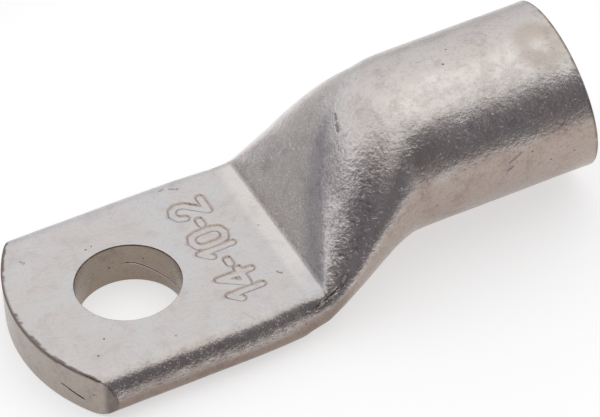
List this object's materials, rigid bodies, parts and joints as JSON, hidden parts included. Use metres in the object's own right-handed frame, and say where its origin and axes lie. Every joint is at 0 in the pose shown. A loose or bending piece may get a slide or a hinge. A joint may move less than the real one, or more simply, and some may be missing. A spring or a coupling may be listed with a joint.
{
  "type": "copper cable lug",
  "caption": "Tinned copper tube lug: flat palm with a stud hole and curved tip, cranked up into a round open barrel that takes a stripped cable for crimping.",
  "frame": {"origin": "centre of the stud hole on the underside of the palm, the face that is bolted down", "axes": "+Z out of the top of the palm along the stud hole, +X along the lug from the stud hole towards the barrel's mouth, Y across the palm"},
  "size_m": [0.0476, 0.0198, 0.0149],
  "materials": {
    "tinned_copper": "satin tin plate over copper, tumbled and scuffed"
  },
  "bodies": {
    "root": {"cable_lug": "tinned_copper"}
  },
  "joints": []
}
